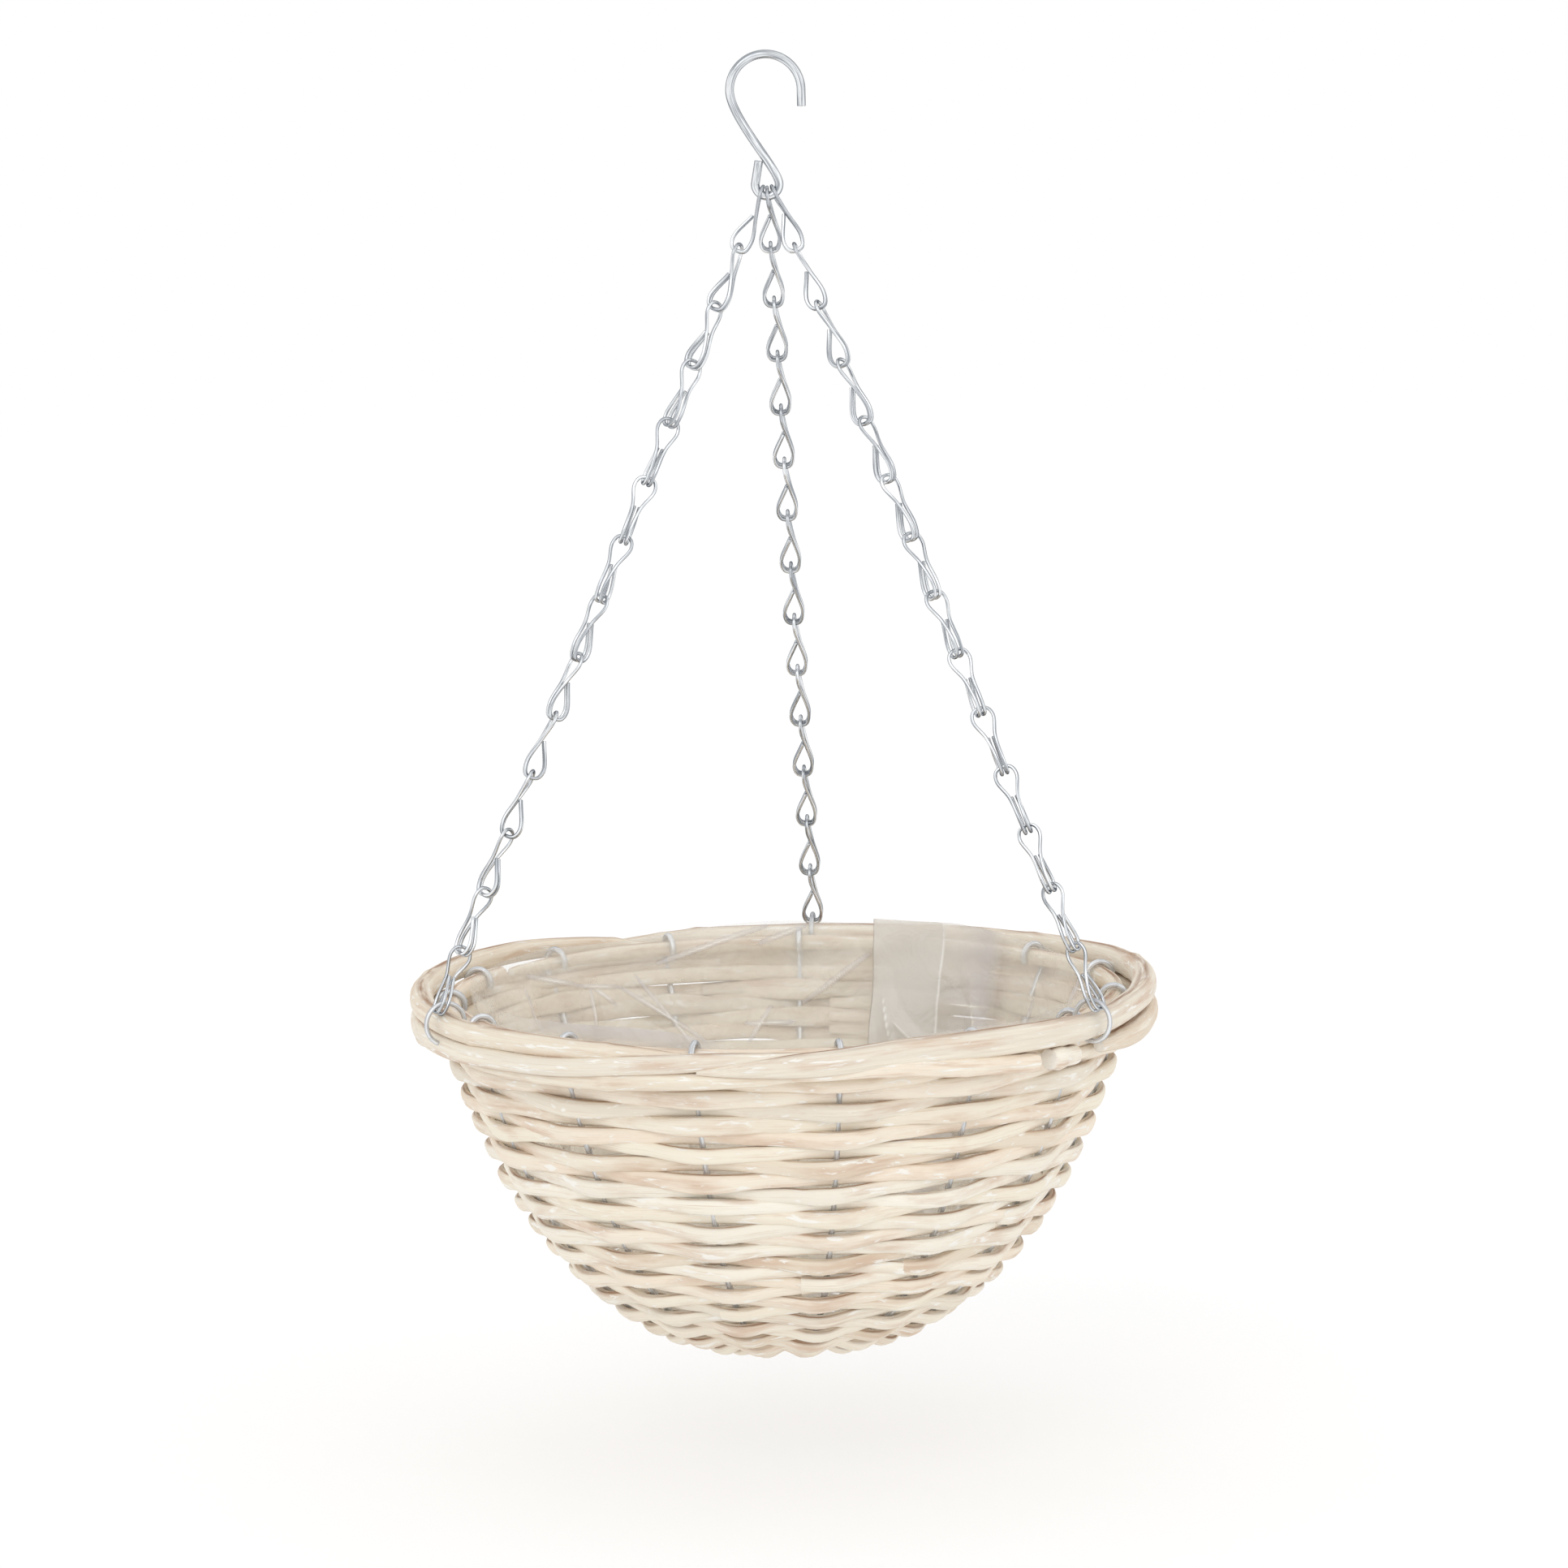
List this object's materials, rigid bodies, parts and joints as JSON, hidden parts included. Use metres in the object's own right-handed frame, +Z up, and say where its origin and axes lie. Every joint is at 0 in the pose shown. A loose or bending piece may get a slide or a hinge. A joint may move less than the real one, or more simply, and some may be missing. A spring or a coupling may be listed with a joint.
{
  "type": "hanging planter",
  "caption": "Half-round hanging planter: whitewashed willow woven on a galvanised wire frame, with a clear film liner, hung by formed-link chains from an S-hook.",
  "frame": {"origin": "underside of the S-hook's crown, where the planter hangs on its bracket", "axes": "+Z up along the line of hanging, +X to the right and in the plane of the hook, +Y to the rear, towards the single rear chain"},
  "size_m": [0.3488, 0.3559, 0.6093],
  "materials": {
    "willow": "matte whitewash",
    "zinc": "bright zinc plating",
    "galvanised": "dull galvanised",
    "film": "clear polythene film"
  },
  "bodies": {
    "hook": {"s_hook": "zinc"},
    "basket": {"wire_frame": "galvanised", "border_rod_upper": "willow", "border_rod_lower": "willow", "border_rod_inner": "willow", "weaver_rod_01": "willow", "weaver_rod_02": "willow", "weaver_rod_03": "willow", "weaver_rod_04": "willow", "weaver_rod_05": "willow", "weaver_rod_06": "willow", "weaver_rod_07": "willow", "weaver_rod_08": "willow", "weaver_rod_09": "willow", "liner": "film", "chain_left_link_01": "zinc", "chain_left_link_14": "zinc", "chain_rear_link_01": "zinc", "chain_rear_link_14": "zinc", "chain_right_link_01": "zinc", "chain_right_link_14": "zinc"},
    "ring_left": {"chain_ring_left": "galvanised"},
    "ring_rear": {"chain_ring_rear": "galvanised"},
    "ring_right": {"chain_ring_right": "galvanised"},
    "left_link_02": {"chain_left_link_02": "zinc"},
    "left_link_03": {"chain_left_link_03": "zinc"},
    "left_link_04": {"chain_left_link_04": "zinc"},
    "left_link_05": {"chain_left_link_05": "zinc"},
    "left_link_06": {"chain_left_link_06": "zinc"},
    "left_link_07": {"chain_left_link_07": "zinc"},
    "left_link_08": {"chain_left_link_08": "zinc"},
    "left_link_09": {"chain_left_link_09": "zinc"},
    "left_link_10": {"chain_left_link_10": "zinc"},
    "left_link_11": {"chain_left_link_11": "zinc"},
    "left_link_12": {"chain_left_link_12": "zinc"},
    "left_link_13": {"chain_left_link_13": "zinc"},
    "rear_link_02": {"chain_rear_link_02": "zinc"},
    "rear_link_03": {"chain_rear_link_03": "zinc"},
    "rear_link_04": {"chain_rear_link_04": "zinc"},
    "rear_link_05": {"chain_rear_link_05": "zinc"},
    "rear_link_06": {"chain_rear_link_06": "zinc"},
    "rear_link_07": {"chain_rear_link_07": "zinc"},
    "rear_link_08": {"chain_rear_link_08": "zinc"},
    "rear_link_09": {"chain_rear_link_09": "zinc"},
    "rear_link_10": {"chain_rear_link_10": "zinc"},
    "rear_link_11": {"chain_rear_link_11": "zinc"},
    "rear_link_12": {"chain_rear_link_12": "zinc"},
    "rear_link_13": {"chain_rear_link_13": "zinc"},
    "right_link_02": {"chain_right_link_02": "zinc"},
    "right_link_03": {"chain_right_link_03": "zinc"},
    "right_link_04": {"chain_right_link_04": "zinc"},
    "right_link_05": {"chain_right_link_05": "zinc"},
    "right_link_06": {"chain_right_link_06": "zinc"},
    "right_link_07": {"chain_right_link_07": "zinc"},
    "right_link_08": {"chain_right_link_08": "zinc"},
    "right_link_09": {"chain_right_link_09": "zinc"},
    "right_link_10": {"chain_right_link_10": "zinc"},
    "right_link_11": {"chain_right_link_11": "zinc"},
    "right_link_12": {"chain_right_link_12": "zinc"},
    "right_link_13": {"chain_right_link_13": "zinc"}
  },
  "joints": [
    {"name": "basket_swing", "type": "hinge", "parent": "hook", "child": "basket", "pos_m": [0, 0, -0.0633], "axis": [1, 0, 0], "range_deg": [-30, 30]},
    {"name": "ring_left_turn", "type": "hinge", "parent": "basket", "child": "ring_left", "pos_m": [-0.15529, -0.07224, -0.4355], "axis": [-0.4218, 0.9067, 0], "range_deg": [-20, 20]},
    {"name": "ring_rear_turn", "type": "hinge", "parent": "basket", "child": "ring_rear", "pos_m": [0.01508, 0.17061, -0.4355], "axis": [0.9961, -0.088, 0], "range_deg": [-20, 20]},
    {"name": "ring_right_turn", "type": "hinge", "parent": "basket", "child": "ring_right", "pos_m": [0.14021, -0.09836, -0.4355], "axis": [-0.5743, -0.8186, 0], "range_deg": [-20, 20]},
    {"name": "left_link_02_roll", "type": "hinge", "parent": "basket", "child": "left_link_02", "pos_m": [-0.00182, 0.00067, -0.0589], "axis": [-0.3825, -0.1816, -0.9059], "range_deg": [-6.43, 6.43]},
    {"name": "left_link_03_roll", "type": "hinge", "parent": "basket", "child": "left_link_03", "pos_m": [-0.00182, 0.00067, -0.0589], "axis": [-0.3825, -0.1816, -0.9059], "range_deg": [-12.86, 12.86]},
    {"name": "left_link_04_roll", "type": "hinge", "parent": "basket", "child": "left_link_04", "pos_m": [-0.00182, 0.00067, -0.0589], "axis": [-0.3825, -0.1816, -0.9059], "range_deg": [-19.29, 19.29]},
    {"name": "left_link_05_roll", "type": "hinge", "parent": "basket", "child": "left_link_05", "pos_m": [-0.00182, 0.00067, -0.0589], "axis": [-0.3825, -0.1816, -0.9059], "range_deg": [-25.71, 25.71]},
    {"name": "left_link_06_roll", "type": "hinge", "parent": "basket", "child": "left_link_06", "pos_m": [-0.00182, 0.00067, -0.0589], "axis": [-0.3825, -0.1816, -0.9059], "range_deg": [-32.14, 32.14]},
    {"name": "left_link_07_roll", "type": "hinge", "parent": "basket", "child": "left_link_07", "pos_m": [-0.00182, 0.00067, -0.0589], "axis": [-0.3825, -0.1816, -0.9059], "range_deg": [-38.57, 38.57]},
    {"name": "left_link_08_roll", "type": "hinge", "parent": "basket", "child": "left_link_08", "pos_m": [-0.00182, 0.00067, -0.0589], "axis": [-0.3825, -0.1816, -0.9059], "range_deg": [-45, 45]},
    {"name": "left_link_09_roll", "type": "hinge", "parent": "basket", "child": "left_link_09", "pos_m": [-0.00182, 0.00067, -0.0589], "axis": [-0.3825, -0.1816, -0.9059], "range_deg": [-37.5, 37.5]},
    {"name": "left_link_10_roll", "type": "hinge", "parent": "basket", "child": "left_link_10", "pos_m": [-0.00182, 0.00067, -0.0589], "axis": [-0.3825, -0.1816, -0.9059], "range_deg": [-30, 30]},
    {"name": "left_link_11_roll", "type": "hinge", "parent": "basket", "child": "left_link_11", "pos_m": [-0.00182, 0.00067, -0.0589], "axis": [-0.3825, -0.1816, -0.9059], "range_deg": [-22.5, 22.5]},
    {"name": "left_link_12_roll", "type": "hinge", "parent": "basket", "child": "left_link_12", "pos_m": [-0.00182, 0.00067, -0.0589], "axis": [-0.3825, -0.1816, -0.9059], "range_deg": [-15, 15]},
    {"name": "left_link_13_roll", "type": "hinge", "parent": "basket", "child": "left_link_13", "pos_m": [-0.00182, 0.00067, -0.0589], "axis": [-0.3825, -0.1816, -0.9059], "range_deg": [-7.5, 7.5]},
    {"name": "rear_link_02_roll", "type": "hinge", "parent": "basket", "child": "rear_link_02", "pos_m": [-0.00014, -0.00159, -0.05996], "axis": [0.0379, 0.4286, -0.9027], "range_deg": [-6.43, 6.43]},
    {"name": "rear_link_03_roll", "type": "hinge", "parent": "basket", "child": "rear_link_03", "pos_m": [-0.00014, -0.00159, -0.05996], "axis": [0.0379, 0.4286, -0.9027], "range_deg": [-12.86, 12.86]},
    {"name": "rear_link_04_roll", "type": "hinge", "parent": "basket", "child": "rear_link_04", "pos_m": [-0.00014, -0.00159, -0.05996], "axis": [0.0379, 0.4286, -0.9027], "range_deg": [-19.29, 19.29]},
    {"name": "rear_link_05_roll", "type": "hinge", "parent": "basket", "child": "rear_link_05", "pos_m": [-0.00014, -0.00159, -0.05996], "axis": [0.0379, 0.4286, -0.9027], "range_deg": [-25.71, 25.71]},
    {"name": "rear_link_06_roll", "type": "hinge", "parent": "basket", "child": "rear_link_06", "pos_m": [-0.00014, -0.00159, -0.05996], "axis": [0.0379, 0.4286, -0.9027], "range_deg": [-32.14, 32.14]},
    {"name": "rear_link_07_roll", "type": "hinge", "parent": "basket", "child": "rear_link_07", "pos_m": [-0.00014, -0.00159, -0.05996], "axis": [0.0379, 0.4286, -0.9027], "range_deg": [-38.57, 38.57]},
    {"name": "rear_link_08_roll", "type": "hinge", "parent": "basket", "child": "rear_link_08", "pos_m": [-0.00014, -0.00159, -0.05996], "axis": [0.0379, 0.4286, -0.9027], "range_deg": [-45, 45]},
    {"name": "rear_link_09_roll", "type": "hinge", "parent": "basket", "child": "rear_link_09", "pos_m": [-0.00014, -0.00159, -0.05996], "axis": [0.0379, 0.4286, -0.9027], "range_deg": [-37.5, 37.5]},
    {"name": "rear_link_10_roll", "type": "hinge", "parent": "basket", "child": "rear_link_10", "pos_m": [-0.00014, -0.00159, -0.05996], "axis": [0.0379, 0.4286, -0.9027], "range_deg": [-30, 30]},
    {"name": "rear_link_11_roll", "type": "hinge", "parent": "basket", "child": "rear_link_11", "pos_m": [-0.00014, -0.00159, -0.05996], "axis": [0.0379, 0.4286, -0.9027], "range_deg": [-22.5, 22.5]},
    {"name": "rear_link_12_roll", "type": "hinge", "parent": "basket", "child": "rear_link_12", "pos_m": [-0.00014, -0.00159, -0.05996], "axis": [0.0379, 0.4286, -0.9027], "range_deg": [-15, 15]},
    {"name": "rear_link_13_roll", "type": "hinge", "parent": "basket", "child": "rear_link_13", "pos_m": [-0.00014, -0.00159, -0.05996], "axis": [0.0379, 0.4286, -0.9027], "range_deg": [-7.5, 7.5]},
    {"name": "right_link_02_roll", "type": "hinge", "parent": "basket", "child": "right_link_02", "pos_m": [0.00196, 0.00091, -0.0589], "axis": [0.3444, -0.2472, -0.9057], "range_deg": [-6.43, 6.43]},
    {"name": "right_link_03_roll", "type": "hinge", "parent": "basket", "child": "right_link_03", "pos_m": [0.00196, 0.00091, -0.0589], "axis": [0.3444, -0.2472, -0.9057], "range_deg": [-12.86, 12.86]},
    {"name": "right_link_04_roll", "type": "hinge", "parent": "basket", "child": "right_link_04", "pos_m": [0.00196, 0.00091, -0.0589], "axis": [0.3444, -0.2472, -0.9057], "range_deg": [-19.29, 19.29]},
    {"name": "right_link_05_roll", "type": "hinge", "parent": "basket", "child": "right_link_05", "pos_m": [0.00196, 0.00091, -0.0589], "axis": [0.3444, -0.2472, -0.9057], "range_deg": [-25.71, 25.71]},
    {"name": "right_link_06_roll", "type": "hinge", "parent": "basket", "child": "right_link_06", "pos_m": [0.00196, 0.00091, -0.0589], "axis": [0.3444, -0.2472, -0.9057], "range_deg": [-32.14, 32.14]},
    {"name": "right_link_07_roll", "type": "hinge", "parent": "basket", "child": "right_link_07", "pos_m": [0.00196, 0.00091, -0.0589], "axis": [0.3444, -0.2472, -0.9057], "range_deg": [-38.57, 38.57]},
    {"name": "right_link_08_roll", "type": "hinge", "parent": "basket", "child": "right_link_08", "pos_m": [0.00196, 0.00091, -0.0589], "axis": [0.3444, -0.2472, -0.9057], "range_deg": [-45, 45]},
    {"name": "right_link_09_roll", "type": "hinge", "parent": "basket", "child": "right_link_09", "pos_m": [0.00196, 0.00091, -0.0589], "axis": [0.3444, -0.2472, -0.9057], "range_deg": [-37.5, 37.5]},
    {"name": "right_link_10_roll", "type": "hinge", "parent": "basket", "child": "right_link_10", "pos_m": [0.00196, 0.00091, -0.0589], "axis": [0.3444, -0.2472, -0.9057], "range_deg": [-30, 30]},
    {"name": "right_link_11_roll", "type": "hinge", "parent": "basket", "child": "right_link_11", "pos_m": [0.00196, 0.00091, -0.0589], "axis": [0.3444, -0.2472, -0.9057], "range_deg": [-22.5, 22.5]},
    {"name": "right_link_12_roll", "type": "hinge", "parent": "basket", "child": "right_link_12", "pos_m": [0.00196, 0.00091, -0.0589], "axis": [0.3444, -0.2472, -0.9057], "range_deg": [-15, 15]},
    {"name": "right_link_13_roll", "type": "hinge", "parent": "basket", "child": "right_link_13", "pos_m": [0.00196, 0.00091, -0.0589], "axis": [0.3444, -0.2472, -0.9057], "range_deg": [-7.5, 7.5]}
  ],
  "couplings": [
    {"joint": "left_link_02_roll", "follows": "left_link_08_roll", "ratio": 0.1429},
    {"joint": "left_link_03_roll", "follows": "left_link_08_roll", "ratio": 0.2857},
    {"joint": "left_link_04_roll", "follows": "left_link_08_roll", "ratio": 0.4286},
    {"joint": "left_link_05_roll", "follows": "left_link_08_roll", "ratio": 0.5714},
    {"joint": "left_link_06_roll", "follows": "left_link_08_roll", "ratio": 0.7143},
    {"joint": "left_link_07_roll", "follows": "left_link_08_roll", "ratio": 0.8571},
    {"joint": "left_link_09_roll", "follows": "left_link_08_roll", "ratio": 0.8333},
    {"joint": "left_link_10_roll", "follows": "left_link_08_roll", "ratio": 0.6667},
    {"joint": "left_link_11_roll", "follows": "left_link_08_roll", "ratio": 0.5},
    {"joint": "left_link_12_roll", "follows": "left_link_08_roll", "ratio": 0.3333},
    {"joint": "left_link_13_roll", "follows": "left_link_08_roll", "ratio": 0.1667},
    {"joint": "rear_link_02_roll", "follows": "rear_link_08_roll", "ratio": 0.1429},
    {"joint": "rear_link_03_roll", "follows": "rear_link_08_roll", "ratio": 0.2857},
    {"joint": "rear_link_04_roll", "follows": "rear_link_08_roll", "ratio": 0.4286},
    {"joint": "rear_link_05_roll", "follows": "rear_link_08_roll", "ratio": 0.5714},
    {"joint": "rear_link_06_roll", "follows": "rear_link_08_roll", "ratio": 0.7143},
    {"joint": "rear_link_07_roll", "follows": "rear_link_08_roll", "ratio": 0.8571},
    {"joint": "rear_link_09_roll", "follows": "rear_link_08_roll", "ratio": 0.8333},
    {"joint": "rear_link_10_roll", "follows": "rear_link_08_roll", "ratio": 0.6667},
    {"joint": "rear_link_11_roll", "follows": "rear_link_08_roll", "ratio": 0.5},
    {"joint": "rear_link_12_roll", "follows": "rear_link_08_roll", "ratio": 0.3333},
    {"joint": "rear_link_13_roll", "follows": "rear_link_08_roll", "ratio": 0.1667},
    {"joint": "right_link_02_roll", "follows": "right_link_08_roll", "ratio": 0.1429},
    {"joint": "right_link_03_roll", "follows": "right_link_08_roll", "ratio": 0.2857},
    {"joint": "right_link_04_roll", "follows": "right_link_08_roll", "ratio": 0.4286},
    {"joint": "right_link_05_roll", "follows": "right_link_08_roll", "ratio": 0.5714},
    {"joint": "right_link_06_roll", "follows": "right_link_08_roll", "ratio": 0.7143},
    {"joint": "right_link_07_roll", "follows": "right_link_08_roll", "ratio": 0.8571},
    {"joint": "right_link_09_roll", "follows": "right_link_08_roll", "ratio": 0.8333},
    {"joint": "right_link_10_roll", "follows": "right_link_08_roll", "ratio": 0.6667},
    {"joint": "right_link_11_roll", "follows": "right_link_08_roll", "ratio": 0.5},
    {"joint": "right_link_12_roll", "follows": "right_link_08_roll", "ratio": 0.3333},
    {"joint": "right_link_13_roll", "follows": "right_link_08_roll", "ratio": 0.1667}
  ]
}
